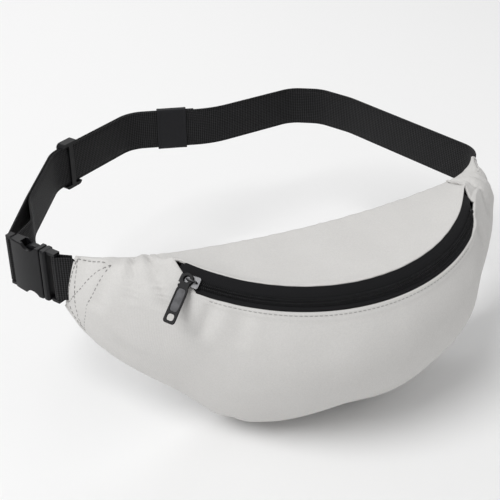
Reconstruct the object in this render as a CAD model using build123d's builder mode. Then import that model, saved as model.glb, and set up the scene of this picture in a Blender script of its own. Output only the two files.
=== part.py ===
from build123d import *
import os
from math import acos, atan2, cos, degrees, hypot, radians, sin, tan

# Waist belt bag: a zipped fabric pouch on a webbing belt with a side-release buckle.
#
# Frame: the origin is the centre of the waist opening, level with the middle of the webbing.
# +Z is up, -Y is the bag's front, away from the wearer, and -X is the buckle side.
# All lengths are in millimetres and all angles in degrees.

os.makedirs("parts", exist_ok=True)

# ---- driving dimensions -------------------------------------------------------------------
WEB_W = 38.0            # webbing width
WEB_T = 1.6             # webbing thickness
WEB_GAP = 0.6           # gap between two layers of webbing
CLEAR = 0.3             # gap between neighbouring soft pieces

BACK_Y = -125.0         # back sheet at the middle of the bag
MID_HALF = 134.0        # half length of the pocket along the back sheet
MID_TURN = 12.0         # how far the back sheet turns over that half length
WING_LEN = 56.0         # length of each side wing
WING_TURN_RIGHT = 40.0  # extra turn of the right wing round the hip
WING_TURN_LEFT = 26.0   # extra turn of the left wing, at the buckle
WING_SLANT = 15.0       # lean of the wing ends

TOP = WEB_W / 2         # level of the pouch's top edge
POUCH_H = 156.0         # depth of the pouch at its middle
WING_H = 47.0           # depth of the pouch at a wing end
POUCH_D = 83.0          # how far the front stands out at the middle
WING_D = 6.0            # thickness of a wing end
EDGE_DROP = 1.5         # how far a wing end's front edge is below its back edge
FABRIC_T = 2.0          # shell of cloth, padding and lining
LIMIT = MID_HALF + WING_LEN
BEHIND = 20.0           # reach of the cutting wall behind the back sheet
WEB_OUT = 3.4           # middle of the webbing sewn between a wing's back and front
STATIONS = [0.0, 48.0, 97.0, MID_HALF, 143.0, 153.0, 162.0, 172.0, LIMIT]  # sections
HEIGHT_FADE = 2.6       # how late the pouch's height and depth fade towards the wing ends
DEPTH_FADE = 1.85
SHELF_FADE = 1.4        # how fast the zip's shelf fades along a wing
FOOT_OUT, FOOT_DROP = 0.827, 0.092   # roundness of the front's foot, as shares of the depth
BELLY_OUT, BELLY_LOW = 1.42, 0.256   # fullness of the front below the zip, and where it lies

ZIP_R = 157.0           # radius of the curved zip, along the middle of its band
ZIP_C = Vector(0, -61.8, 43.2)
ZIP_TILT = 11.4         # how far the zip's plane leans down to the front
ZIP_SLOPE = 35.0        # slope of the band across its width, from that plane
ZIP_W = 17.5            # visible width of the band
ZIP_LEFT, ZIP_RIGHT = -53.5, 52.0
CHAIN_W = 2.5           # the chain lies this far below the middle of the band
CHAIN_GAP = 0.5         # half the gap between the two coils
COIL_W = 2.3
COIL_H = 1.7
TAPE_T = 0.7
SLIDER_AT = -49.5       # angle of the closed slider along the zip

BUCKLE_FROM = Vector(-196.7, -83.8, 0)
BUCKLE_DIR = 119.5      # direction of the buckle's length in plan, plug to socket
BUCKLE_L = 50.5
BUCKLE_W = 44.0
BUCKLE_T = 11.0
BAR_R = 1.5
PLUG_END = 14.0         # where the plug's shoulders meet the socket
LOOP_R = BAR_R + 0.3 + WEB_T / 2

BELT_HINGE = Vector(121.0, 114.0, 0)
HINGE_GAP = 1.2         # each end of the belt stops this far from the bend line


# ---- the bag's shape ----------------------------------------------------------------------
def back_point(s):
    """Plan point of the back sheet at length s from its middle, and the sheet's heading there."""
    side = 1 if s >= 0 else -1
    mid_r = MID_HALF / radians(MID_TURN)
    turn = min(abs(s), MID_HALF) / mid_r
    x, y = mid_r * sin(turn), mid_r * (1 - cos(turn))
    if abs(s) > MID_HALF:
        wing_r = WING_LEN / radians(WING_TURN_RIGHT if side > 0 else WING_TURN_LEFT)
        wing = turn + (abs(s) - MID_HALF) / wing_r
        x += wing_r * (sin(wing) - sin(turn))
        y += wing_r * (cos(turn) - cos(wing))
        turn = wing
    return Vector(side * x, BACK_Y + y, 0), side * degrees(turn)


def section_lean(s):
    """Direction of the section plane at s, from -Y towards the side of s."""
    side = 1 if s >= 0 else -1
    if abs(s) <= MID_HALF:
        return -side * MID_TURN * abs(s) / MID_HALF
    end = MID_TURN + (WING_TURN_RIGHT if side > 0 else WING_TURN_LEFT)
    return side * (-MID_TURN + (MID_TURN + end) * (abs(s) - MID_HALF) / WING_LEN)


def zip_radial(angle):
    """Unit vector from the zip's centre to the band at an angle from the bag's front."""
    tilt = radians(ZIP_TILT)
    front = Vector(0, -cos(tilt), -sin(tilt))
    return front * cos(radians(angle)) + Vector(sin(radians(angle)), 0, 0)


ZIP_UP = Vector(0, -sin(radians(ZIP_TILT)), cos(radians(ZIP_TILT)))


def band_radius(w, h=0.0):
    return ZIP_R + w * cos(radians(ZIP_SLOPE)) + h * sin(radians(ZIP_SLOPE))


def band_level(w, h=0.0):
    return h * cos(radians(ZIP_SLOPE)) - w * sin(radians(ZIP_SLOPE))


def band_point(angle, w, h=0.0):
    """Point on the band: w runs down across its width, h stands out from its face."""
    return ZIP_C + zip_radial(angle) * band_radius(w, h) + ZIP_UP * band_level(w, h)


def band_crossing(s, w):
    """Where the band's line w crosses the section plane at s: (distance out, level)."""
    foot, _ = back_point(s)
    lean = radians(section_lean(s))
    out = Vector(sin(lean), -cos(lean), 0)
    along = Vector(cos(lean), sin(lean), 0)
    centre = ZIP_C + ZIP_UP * band_level(w)
    a = zip_radial(0).dot(along) * band_radius(w)
    b = zip_radial(90).dot(along) * band_radius(w)
    k = (foot - centre).dot(along)
    angles = [atan2(b, a) + sign * acos(k / hypot(a, b)) for sign in (1, -1)]
    points = [band_point(degrees(angle), w) for angle in angles]
    point = max(points, key=lambda p: (p - foot).dot(out))
    return (point - foot).dot(out), point.Z


def section_plane(s):
    foot, heading = back_point(s)
    lean = radians(section_lean(s))
    out = Vector(sin(lean), -cos(lean), 0)
    wing = max(0.0, (abs(s) - MID_HALF) / WING_LEN)
    side = 1 if s >= 0 else -1
    tangent = Vector(cos(radians(heading)), sin(radians(heading)), 0) * side
    up = Vector(0, 0, 1) - tangent * tan(radians(WING_SLANT)) * wing
    up = (up - out * up.dot(out)).normalized()
    return Plane(origin=foot + Vector(0, 0, TOP), x_dir=out, z_dir=out.cross(up))


def section_points(s, inset):
    """Corners and curve handles of the pouch's section: back, front and the zip's shelf."""
    part = abs(s) / LIMIT
    bottom = -WING_H - (POUCH_H - WING_H) * (1 - part ** HEIGHT_FADE)
    depth = (POUCH_D - WING_D) * (1 - part ** DEPTH_FADE) + WING_D
    if abs(s) <= MID_HALF:
        low = band_crossing(s, ZIP_W / 2)
        high = band_crossing(s, -ZIP_W / 2)
        shrink = 1.0
    else:
        low = band_crossing(MID_HALF, ZIP_W / 2)
        high = band_crossing(MID_HALF, -ZIP_W / 2)
        shrink = (1 - (abs(s) - MID_HALF) / WING_LEN) ** SHELF_FADE
    low_out = max(low[0] * shrink, 0.75 * WING_D)
    high_out = max(high[0] * shrink, 0.45 * WING_D)
    low_z = (low[1] - TOP) * shrink - EDGE_DROP * (1 - shrink)
    high_z = (high[1] - TOP) * shrink
    depth = max(depth, low_out)
    height = low_z - bottom
    return [
        (inset, bottom + 1.5 * inset),
        (FOOT_OUT * depth - 0.5 * inset, bottom - FOOT_DROP * depth + 1.2 * inset),
        (BELLY_OUT * depth - 1.6 * inset, low_z - BELLY_LOW * height - 0.5 * inset),
        (low_out - 0.7 * inset, low_z - inset),
        (high_out, high_z - inset),
        (inset, -inset),
    ]


def pouch_loft(stations, inset):
    """Closed solid of the pouch through the sections at these distances each side of its middle."""
    with BuildPart() as body:
        for s in [-d for d in stations[:0:-1]] + stations:
            p = section_points(s, inset)
            with BuildSketch(section_plane(s)):
                with BuildLine():
                    Bezier(*p[:4])
                    Polyline(p[3], p[4], p[5], p[0])
                make_face()
        loft()
    return body.part


def offset_route(points, distance):
    """The route moved to its right by a distance, with each corner kept on its mitre."""
    moved = []
    for i, point in enumerate(points):
        before = (point - points[i - 1]).normalized() if i > 0 else None
        after = (points[i + 1] - point).normalized() if i < len(points) - 1 else None
        before, after = before or after, after or before
        right = Vector(before.Y, -before.X, 0) + Vector(after.Y, -after.X, 0)
        moved.append(point + right * (2 * distance / right.dot(right)))
    return moved


def ribbon_strip(points, radii, grow=0.0):
    """A strip of webbing on edge, following a route in plan, or the room that it needs."""
    with BuildPart() as strip:
        with BuildSketch():
            with BuildLine() as route:
                FilletPolyline(*points, radius=radii)
            trace(route.line, line_width=WEB_T + 2 * grow)
        extrude(amount=WEB_W / 2 + grow, both=True)
    return strip.part


def back_wall(depth):
    """An upright wall along the back sheet, from behind the bag to a depth into it."""
    count, limit = 48, LIMIT + 4
    behind, into = [], []
    for i in range(count + 1):
        foot, heading = back_point(limit * (2 * i / count - 1))
        normal = Vector(sin(radians(heading)), -cos(radians(heading)), 0)
        behind.append(foot - normal * BEHIND)
        into.append(foot + normal * depth)
    with BuildPart() as wall:
        with BuildSketch():
            with BuildLine():
                a = Spline(*behind)
                b = Spline(*into)
                Line(a @ 0, b @ 0)
                Line(a @ 1, b @ 1)
            make_face()
        extrude(amount=1.2 * POUCH_H, both=True)
    return wall.part


def band_ring(corners, start, end):
    """Solid ring of the zip's band: a section of (w, h) corners turned about the zip's axis."""
    radial = zip_radial(start)
    plane = Plane(origin=ZIP_C, x_dir=radial, z_dir=radial.cross(ZIP_UP))
    with BuildPart() as ring:
        with BuildSketch(plane):
            with BuildLine():
                Polyline(*[(band_radius(w, h), band_level(w, h)) for w, h in corners], close=True)
            make_face()
        revolve(axis=Axis(ZIP_C, ZIP_UP), revolution_arc=end - start)
    return ring.part


# ---- zip: two tapes, two coils, an end stop at each end ------------------------------------
def zip_strip(name, low, high, foot, rise, start, end):
    with BuildPart() as strip:
        add(band_ring([(low, foot), (high, foot), (high, rise), (low, rise)], start, end))
    strip.part.label = name
    export_step(strip.part, f"parts/{name}.step")


STOP_TURN = 1.0         # length of an end stop, in degrees of the zip's arc
upper_edge, lower_edge = CHAIN_W - CHAIN_GAP, CHAIN_W + CHAIN_GAP
stop_low, stop_high = upper_edge - COIL_W - 0.3, lower_edge + COIL_W + 0.3
coil_start, coil_end = ZIP_LEFT + 1.5, ZIP_RIGHT - 5.0
zip_strip("zip_tape_upper", -ZIP_W / 2, upper_edge, -TAPE_T, 0, ZIP_LEFT, ZIP_RIGHT)
zip_strip("zip_tape_lower", lower_edge, ZIP_W / 2, -TAPE_T, 0, ZIP_LEFT, ZIP_RIGHT)
zip_strip("zip_coil_upper", upper_edge - COIL_W, upper_edge, 0, COIL_H, coil_start, coil_end)
zip_strip("zip_coil_lower", lower_edge, lower_edge + COIL_W, 0, COIL_H, coil_start, coil_end)
zip_strip("zip_stop_left", stop_low, stop_high, 0, COIL_H + 0.4, coil_start - STOP_TURN, coil_start)
zip_strip("zip_stop_right", stop_low, stop_high, 0, COIL_H + 0.4, coil_end, coil_end + STOP_TURN)

# ---- zip slider, its bail and the pull ----------------------------------------------------
SLIDER_L, SLIDER_W = 11.5, 8.8
PLATE_T = 1.3
TOP_PLATE = COIL_H + 0.5
LOW_PLATE = -TAPE_T - 0.5
LEG_X = 3.6             # the bail's legs stand this far each side of the slider's middle
LEG_T = 1.5
BAIL_TOP = TOP_PLATE + PLATE_T + 4.4
PULL_T = 1.6
PULL_FOOT = TOP_PLATE + PLATE_T + 0.6
PULL_L, PULL_W = 34.0, 9.2

slider_out = (zip_radial(SLIDER_AT) * sin(radians(ZIP_SLOPE)) + ZIP_UP * cos(radians(ZIP_SLOPE)))
slider_plane = Plane(
    origin=band_point(SLIDER_AT, CHAIN_W), x_dir=ZIP_UP.cross(zip_radial(SLIDER_AT)), z_dir=slider_out
)

with BuildPart() as zip_slider:
    for level in (LOW_PLATE - PLATE_T, TOP_PLATE):
        with BuildSketch(slider_plane.offset(level)):
            Trapezoid(SLIDER_W, SLIDER_L, 86, rotation=90)
            fillet(vertices(), 1.6)
        extrude(amount=PLATE_T)
    with BuildSketch(slider_plane.offset(TOP_PLATE)):
        with Locations((0, SLIDER_W / 2 - 0.75), (0, 0.75 - SLIDER_W / 2)):
            Rectangle(SLIDER_L - 5, 0.7)
    extrude(amount=-1.4)
    with BuildSketch(slider_plane.offset(LOW_PLATE - 0.1)):
        with Locations((1.3 - SLIDER_L / 2 + 0.6, 0)):
            Rectangle(2.4, 1.4 * CHAIN_GAP)
    extrude(amount=TOP_PLATE - LOW_PLATE + 0.2)
zip_slider.part.label = "zip_slider"
export_step(zip_slider.part, "parts/zip_slider.step")

bail_foot = TOP_PLATE + PLATE_T
bail_middle = Plane(origin=slider_plane.origin, x_dir=slider_plane.x_dir, z_dir=-slider_plane.y_dir)
with BuildPart() as slider_bail:
    with BuildSketch(bail_middle):
        with BuildLine():
            Polyline(
                (-LEG_X - LEG_T / 2, bail_foot), (-LEG_X - LEG_T / 2, BAIL_TOP),
                (LEG_X + LEG_T / 2, BAIL_TOP), (LEG_X + LEG_T / 2, bail_foot),
                (LEG_X - LEG_T / 2, bail_foot), (LEG_X - LEG_T / 2, BAIL_TOP - LEG_T),
                (-LEG_X + LEG_T / 2, BAIL_TOP - LEG_T), (-LEG_X + LEG_T / 2, bail_foot), close=True,
            )
        make_face()
    extrude(amount=1.0, both=True)
    across = Axis(slider_plane.origin, slider_plane.y_dir)
    fillet(slider_bail.edges().filter_by(across), 0.4)
slider_bail.part.label = "slider_bail"
export_step(slider_bail.part, "parts/slider_bail.step")

pull_plane = Plane(
    origin=slider_plane.from_local_coords(Vector(-LEG_X, 0, PULL_FOOT)),
    x_dir=slider_plane.x_dir, z_dir=slider_out,
)
with BuildPart() as zip_pull:
    with BuildSketch(pull_plane):
        Circle(PULL_W / 2)
        with Locations((0, -PULL_L / 2)):
            Rectangle(PULL_W, PULL_L)
        fillet(vertices().group_by(Axis.Y)[0], 2.0)
        Circle(2.4, mode=Mode.SUBTRACT)
        with Locations((0, 4.6 - PULL_L)):
            RectangleRounded(5.4, 5.6, 1.8, mode=Mode.SUBTRACT)
    extrude(amount=PULL_T)
    with BuildSketch(pull_plane.offset(PULL_T)):
        with Locations((0, 2.6 - PULL_L / 2 - 3.0)):
            RectangleRounded(PULL_W - 2.6, PULL_L - 17.0, 1.4)
    extrude(amount=-0.4, mode=Mode.SUBTRACT)
zip_pull.part.label = "zip_pull"
export_step(zip_pull.part, "parts/zip_pull.step")


# ---- side-release buckle ------------------------------------------------------------------
# The buckle's own frame: x runs from the plug's bar to the socket's bar, y is up and z faces
# the wearer.
along = Vector(cos(radians(BUCKLE_DIR)), sin(radians(BUCKLE_DIR)), 0)
buckle_plane = Plane(origin=BUCKLE_FROM, x_dir=along, z_dir=Vector(along.Y, -along.X, 0))
BAR_X = 1.6             # a bar's axis, from the buckle's end
SLOT_W = WEB_W + 1.0    # height of the webbing slots
RAIL_T = 6.0            # thickness of the rails beside a slot
ROOT_X, ROOT_Y, ROOT_R = 12.4, 11.5, 2.3
ARM_IN, ARM_OUT = ROOT_Y - ROOT_R, ROOT_Y + ROOT_R
PRONG_T = 4.4
CAVITY_T = 6.6
CAVITY_W = 36.4
HOOK_X = 18.4           # where the prongs latch behind the socket's mouth


def bar_and_rails(end, inner):
    """Webbing bar at one end of the buckle, with the rail at each end of the bar."""
    sign = 1 if inner > end else -1
    with BuildPart() as frame_end:
        with BuildSketch(buckle_plane):
            with Locations(((end + inner) / 2, 0)):
                Rectangle(abs(inner - end), BUCKLE_W)
            fillet(vertices().group_by(Axis(BUCKLE_FROM, along))[0 if sign > 0 else -1], 3.0)
            with Locations((end + sign * 8.0, 0)):
                Rectangle(16.0, SLOT_W, mode=Mode.SUBTRACT)
        extrude(amount=RAIL_T / 2, both=True)
        with BuildSketch(Plane(origin=BUCKLE_FROM, x_dir=along, z_dir=(0, 0, 1)).offset(-SLOT_W / 2 - 0.5)):
            with Locations((end + sign * BAR_X, 0)):
                Circle(BAR_R)
        extrude(amount=SLOT_W + 1.0)
    return frame_end.part


BASE_X = 8.2
with BuildPart() as buckle_plug:
    with BuildSketch(buckle_plane):
        with Locations(((BASE_X + PLUG_END) / 2, 0)):
            Rectangle(PLUG_END - BASE_X, BUCKLE_W)
    extrude(amount=BUCKLE_T / 2, both=True)
    fillet(buckle_plug.edges().filter_by(Axis(BUCKLE_FROM, (0, 0, 1))), 2.2)
    ends = buckle_plug.faces().sort_by(Axis.Z)
    fillet(ends[0].edges() + ends[-1].edges(), 1.2)
    with BuildSketch(buckle_plane):
        for side in (1, -1):
            with Locations((ROOT_X, side * ROOT_Y)):
                Circle(ROOT_R + CLEAR)
            with Locations((ROOT_X + 2.5, side * ROOT_Y)):
                Rectangle(5.0, 2 * ROOT_R + 2 * CLEAR)
    extrude(amount=PRONG_T / 2 + CLEAR, both=True, mode=Mode.SUBTRACT)
    with BuildSketch(buckle_plane):
        with Locations((PLUG_END + 8.5, 0)):
            Rectangle(19.0, 7.0)
        fillet(vertices().group_by(Axis(BUCKLE_FROM, along))[-1], 2.5)
    extrude(amount=PRONG_T / 2, both=True)
    add(bar_and_rails(0.0, BASE_X + 0.5))
buckle_plug.part.label = "buckle_plug"
export_step(buckle_plug.part, "parts/buckle_plug.step")

for name, side in (("prong_upper", 1), ("prong_lower", -1)):
    with BuildPart() as prong:
        with BuildSketch(buckle_plane):
            with Locations((ROOT_X, side * ROOT_Y)):
                Circle(ROOT_R)
            inner_root, outer_root = (ROOT_X, side * ARM_IN), (ROOT_X, side * ARM_OUT)
            nose, shoulder = (33.6, side * 15.8), (HOOK_X, side * 21.2)
            with BuildLine():
                Polyline(inner_root, (24, side * 10.8), (32.5, side * 12.6), (34.2, side * 14.4), nose)
                Spline(nose, (29.5, side * 19.2), (24.5, side * 21.4), shoulder)
                Polyline(shoulder, (HOOK_X, side * 14.4), outer_root, inner_root)
            make_face()
        extrude(amount=PRONG_T / 2, both=True)
    prong.part.label = name
    export_step(prong.part, f"parts/{name}.step")

SOCKET_X, SOCKET_END, SOCKET_BODY = PLUG_END + CLEAR, BUCKLE_L, BUCKLE_L - 6.2
CAVITY_END = 35.0
WINDOW_X = HOOK_X - 0.4
GRIP_X, GRIP_R = 25.0, 8.0
MOUTH, THIN = BUCKLE_T / 2 - 0.3, 4.3   # half thickness at the mouth and at the bar end
with BuildPart() as buckle_socket:
    with BuildSketch(Plane(origin=BUCKLE_FROM, x_dir=along, z_dir=(0, 0, 1)).offset(-BUCKLE_W / 2)):
        with BuildLine():
            Polyline(
                (SOCKET_BODY, THIN), (SOCKET_BODY, -THIN), (SOCKET_X, -MOUTH), (SOCKET_X, MOUTH)
            )
            crown = ((SOCKET_X + SOCKET_BODY) / 2, BUCKLE_T / 2 + 0.5)
            ThreePointArc((SOCKET_X, MOUTH), crown, (SOCKET_BODY, THIN))
        make_face()
    extrude(amount=BUCKLE_W)
    fillet(buckle_socket.edges().filter_by(Axis(BUCKLE_FROM, (0, 0, 1))), 1.0)
    ends = buckle_socket.faces().sort_by(Axis.Z)
    fillet(ends[0].edges() + ends[-1].edges(), 0.8)
    with BuildSketch(buckle_plane):
        with Locations(((SOCKET_X + CAVITY_END) / 2 - 1, 0)):
            Rectangle(CAVITY_END - SOCKET_X + 2, CAVITY_W)
        with Locations(((WINDOW_X + CAVITY_END) / 2, 0)):
            Rectangle(CAVITY_END - WINDOW_X, BUCKLE_W + 2)
    extrude(amount=CAVITY_T / 2, both=True, mode=Mode.SUBTRACT)
    with BuildSketch(buckle_plane):
        with Locations((GRIP_X, BUCKLE_W / 2 + 4), (GRIP_X, -BUCKLE_W / 2 - 4)):
            Circle(GRIP_R)
    extrude(amount=BUCKLE_T, both=True, mode=Mode.SUBTRACT)
    add(bar_and_rails(SOCKET_END, SOCKET_BODY - 0.5))
buckle_socket.part.label = "buckle_socket"
export_step(buckle_socket.part, "parts/buckle_socket.step")

# ---- webbing ------------------------------------------------------------------------------
BEND_R = [30.0, 80.0, 30.0, 30.0, 50.0, 15.0]   # bends of the layer next to the wearer
RETURN_R = [52.0, 32.0, 32.0]   # bends of the outer layer, from the socket back to the keeper
LAYERS = WEB_T + WEB_GAP
TAIL_OUT = 8.0          # the tail shows this far past the keeper


def turned(direction, angle):
    c, s = cos(radians(angle)), sin(radians(angle))
    return Vector(direction.X * c - direction.Y * s, direction.X * s + direction.Y * c, 0)


def looped_strip(out_points, out_radii, bar, arrive, leave, back_points, back_radii, grow=0.0):
    """A strip that comes to a bar along one direction, goes round it and leaves along another."""
    a, b = bar + turned(arrive, 90) * LOOP_R, bar + turned(leave, 90) * LOOP_R
    far = bar + (arrive - leave).normalized() * LOOP_R
    with BuildPart() as strip:
        with BuildSketch():
            with BuildLine() as route:
                FilletPolyline(*out_points, a, radius=out_radii)
                ThreePointArc(a, far, b)
                if back_radii:
                    FilletPolyline(b, *back_points, radius=back_radii)
                else:
                    Line(b, back_points[0])
            trace(route.line, line_width=WEB_T + 2 * grow)
        extrude(amount=WEB_W / 2 + grow, both=True)
    return strip.part


# Belt, from the bend behind the right hip, round the waist to the socket's bar and back.
socket_bar = BUCKLE_FROM + along * (BUCKLE_L - BAR_X)
belt_end = Vector(108, 122, 0)
hinge_dir = (belt_end - BELT_HINGE).normalized()
belt_corners = [
    belt_end, Vector(16, 111.5, 0), Vector(-60, 134.5, 0), Vector(-150, 84, 0),
    Vector(-191, 14, 0), Vector(-198.5, -22, 0),
]
belt_start = BELT_HINGE + hinge_dir * HINGE_GAP
second = offset_route(belt_corners, LAYERS)
arrive = (socket_bar - belt_corners[5]).normalized()
leave = (second[4] - socket_bar).normalized()
keeper_dir = (belt_corners[2] - belt_corners[1]).normalized()
KEEPER_AT = 39.5        # middle of the keeper, from the belt's corner at the small of the back
KEEPER_L = 28.0
second[1] = second[1] + keeper_dir * (KEEPER_AT - KEEPER_L / 2 - TAIL_OUT)
with BuildPart() as belt_webbing:
    add(looped_strip(
        [belt_start] + belt_corners, BEND_R, socket_bar, arrive, leave,
        [second[4], second[3], second[2], second[1]], RETURN_R,
    ))
belt_webbing.part.label = "belt_webbing"
export_step(belt_webbing.part, "parts/belt_webbing.step")


def sewn_point(s):
    """Plan point of the webbing where it is sewn between the back and front of a wing."""
    foot, heading = back_point(s)
    return foot + Vector(sin(radians(heading)), -cos(radians(heading)), 0) * WEB_OUT


# Webbing sewn into the right wing, up to the bend behind the hip.
SEWN_S = 174.0
wing_dir = (sewn_point(LIMIT) - sewn_point(LIMIT - 6)).normalized()
anchor_route = [
    sewn_point(SEWN_S), sewn_point(LIMIT - 6), sewn_point(LIMIT) + wing_dir * 16,
    Vector(150, 74, 0), Vector(134, 106, 0), BELT_HINGE - hinge_dir * HINGE_GAP,
]
anchor_bends = [60.0, 25.0, 60.0, 30.0]
with BuildPart() as belt_anchor:
    add(ribbon_strip(anchor_route, anchor_bends))
belt_anchor.part.label = "belt_anchor"
export_step(belt_anchor.part, "parts/belt_anchor.step")

# Short webbing sewn into the left wing, folded round the plug's bar.
plug_bar = BUCKLE_FROM + along * BAR_X
wing_tip = sewn_point(-LIMIT)
tip_dir = (plug_bar - wing_tip).normalized()
fold_end = wing_tip + tip_dir * 2.5 + turned(tip_dir, -90) * LAYERS
plug_route = (
    [sewn_point(-SEWN_S), sewn_point(1 - LIMIT)], [60.0], plug_bar, turned(tip_dir, 4),
    -turned(tip_dir, 4), [fold_end], [],
)
with BuildPart() as plug_webbing:
    add(looped_strip(*plug_route))
plug_webbing.part.label = "plug_webbing"
export_step(plug_webbing.part, "parts/plug_webbing.step")


# ---- sliding fittings on the belt ---------------------------------------------------------
def layer_plane(corner, direction, distance):
    """Frame on the belt's straight run: x along it, y up, z away from the wearer."""
    outward = Vector(direction.Y, -direction.X, 0)
    return Plane(origin=corner + direction * distance, x_dir=direction, z_dir=outward)


FIT = 0.4               # room round the two layers of webbing
STACK_LOW = -WEB_T / 2 - FIT
STACK_HIGH = LAYERS + WEB_T / 2 + FIT
GLIDE_L, GLIDE_W, GLIDE_BAR = 20.0, 45.0, 1.8
GLIDE_AT = 84.0         # middle of the adjuster, from the belt's corner behind it
glide_dir = (belt_corners[3] - belt_corners[2]).normalized()
glide_plane = layer_plane(belt_corners[2], glide_dir, GLIDE_AT)
with BuildPart() as tri_glide:
    with BuildSketch(glide_plane.offset(STACK_LOW - GLIDE_BAR)):
        RectangleRounded(GLIDE_L, GLIDE_W, 4.0)
        Rectangle(GLIDE_L + 2, WEB_W + 2 * FIT, mode=Mode.SUBTRACT)
    extrude(amount=STACK_HIGH - STACK_LOW + 2 * GLIDE_BAR)
    with BuildSketch(glide_plane.offset(STACK_HIGH)):
        with Locations((2.5 - GLIDE_L / 2, 0), (GLIDE_L / 2 - 2.5, 0)):
            Rectangle(5.0, WEB_W + 2)
    extrude(amount=GLIDE_BAR)
    with BuildSketch(glide_plane.offset(STACK_LOW - GLIDE_BAR)):
        Rectangle(5.0, WEB_W + 2)
    extrude(amount=GLIDE_BAR)
tri_glide.part.label = "tri_glide"
export_step(tri_glide.part, "parts/tri_glide.step")

KEEPER_T = 1.0
KEEPER_W = WEB_W + 2 * FIT + 2 * KEEPER_T
keeper_plane = layer_plane(belt_corners[1], keeper_dir, KEEPER_AT)
keeper_end = Plane(
    origin=keeper_plane.from_local_coords(Vector(-KEEPER_L / 2, 0, (STACK_LOW + STACK_HIGH) / 2)),
    x_dir=keeper_plane.z_dir, z_dir=keeper_dir,
)
with BuildPart() as keeper_loop:
    with BuildSketch(keeper_end):
        RectangleRounded(STACK_HIGH - STACK_LOW + 2 * KEEPER_T, KEEPER_W, 2.0)
        Rectangle(STACK_HIGH - STACK_LOW, WEB_W + 2 * FIT, mode=Mode.SUBTRACT)
    extrude(amount=KEEPER_L)
keeper_loop.part.label = "keeper_loop"
export_step(keeper_loop.part, "parts/keeper_loop.step")


# ---- pouch panels -------------------------------------------------------------------------
HOLLOW_X = 162.0        # half width of the hollow inside
with BuildPart() as pouch_hollow:
    add(pouch_loft(STATIONS, FABRIC_T))
    with Locations((0, -150, 0)):
        Box(2 * HOLLOW_X, 400, 400, mode=Mode.INTERSECT)
pouch_shell = pouch_loft(STATIONS, 0.0) - pouch_hollow.part
band_half = ZIP_W / 2 + CLEAR
BAND_CUT = 9.0          # reach of the zip's opening through the cloth, to each side
band_room = band_ring(
    [(-band_half, -BAND_CUT), (band_half, -BAND_CUT), (band_half, BAND_CUT),
     (-band_half, BAND_CUT)], ZIP_LEFT, ZIP_RIGHT,
)


def top_prism(grow):
    """Upright block over the top panel: back edge, two side seams and the zip's arc."""
    left, _ = back_point(-MID_HALF - grow)
    right, _ = back_point(MID_HALF + grow)
    turn = degrees(grow / ZIP_R)
    arc = [band_point(angle, 0) for angle in (ZIP_LEFT - turn, 0, ZIP_RIGHT + turn)]
    arc = [(point.X, point.Y) for point in arc]
    behind = Vector(0, 2 * BEHIND, 0)
    with BuildPart() as block:
        with BuildSketch():
            with BuildLine():
                ThreePointArc(*arc)
                Polyline(arc[2], right, right + behind, left + behind, left, arc[0])
            make_face()
        extrude(amount=2 * TOP)
    return block.part


web_room = [ribbon_strip(anchor_route, anchor_bends, CLEAR), looped_strip(*plug_route, CLEAR)]
back_room = back_wall(FABRIC_T + CLEAR)
back_slab = back_wall(FABRIC_T)

with BuildPart() as back_panel:
    add((pouch_loft(STATIONS, 0.0) & back_slab) - web_room[0] - web_room[1])
back_panel.part.label = "back_panel"
export_step(back_panel.part, "parts/back_panel.step")

with BuildPart() as top_panel:
    add((pouch_shell - band_room - back_room) & top_prism(0.0))
top_panel.part.label = "top_panel"
export_step(top_panel.part, "parts/top_panel.step")

front_shell = pouch_shell - band_room - back_room - top_prism(CLEAR) - web_room[0] - web_room[1]
with BuildPart() as front_panel:
    add(front_shell.solids().sort_by(SortBy.VOLUME)[-1])
front_panel.part.label = "front_panel"
export_step(front_panel.part, "parts/front_panel.step")
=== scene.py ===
"""Looks of a waist belt bag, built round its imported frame. Shapes are worked out in millimetres in the
frame's own axes (+Z up, -Y the bag's front, -X the buckle side) and turned into metres as meshes."""

from math import acos, atan2, cos, degrees, hypot, pi, radians, sin, tan

import bpy
import numpy as np
from mathutils import Matrix, Vector


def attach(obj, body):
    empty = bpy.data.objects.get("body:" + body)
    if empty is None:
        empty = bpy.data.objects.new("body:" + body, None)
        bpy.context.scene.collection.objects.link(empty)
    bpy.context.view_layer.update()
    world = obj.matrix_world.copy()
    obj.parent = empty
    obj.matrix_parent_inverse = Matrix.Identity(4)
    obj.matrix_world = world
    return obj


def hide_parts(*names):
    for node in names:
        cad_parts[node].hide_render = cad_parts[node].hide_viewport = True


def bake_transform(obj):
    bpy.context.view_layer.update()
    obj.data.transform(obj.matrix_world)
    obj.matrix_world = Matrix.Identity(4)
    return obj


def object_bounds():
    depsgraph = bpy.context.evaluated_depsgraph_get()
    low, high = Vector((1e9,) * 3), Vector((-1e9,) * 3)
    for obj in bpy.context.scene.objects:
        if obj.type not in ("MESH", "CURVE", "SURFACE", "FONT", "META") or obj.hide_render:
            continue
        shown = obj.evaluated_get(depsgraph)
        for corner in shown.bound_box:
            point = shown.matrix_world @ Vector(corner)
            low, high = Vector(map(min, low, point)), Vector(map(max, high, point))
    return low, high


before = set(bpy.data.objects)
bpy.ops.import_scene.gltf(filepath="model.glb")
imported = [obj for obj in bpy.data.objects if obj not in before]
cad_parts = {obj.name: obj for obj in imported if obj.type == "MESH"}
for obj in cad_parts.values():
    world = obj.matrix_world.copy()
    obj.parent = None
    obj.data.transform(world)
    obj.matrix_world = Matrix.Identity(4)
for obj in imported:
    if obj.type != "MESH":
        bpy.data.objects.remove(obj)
cad_low, cad_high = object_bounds()
MM = 0.001

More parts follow.
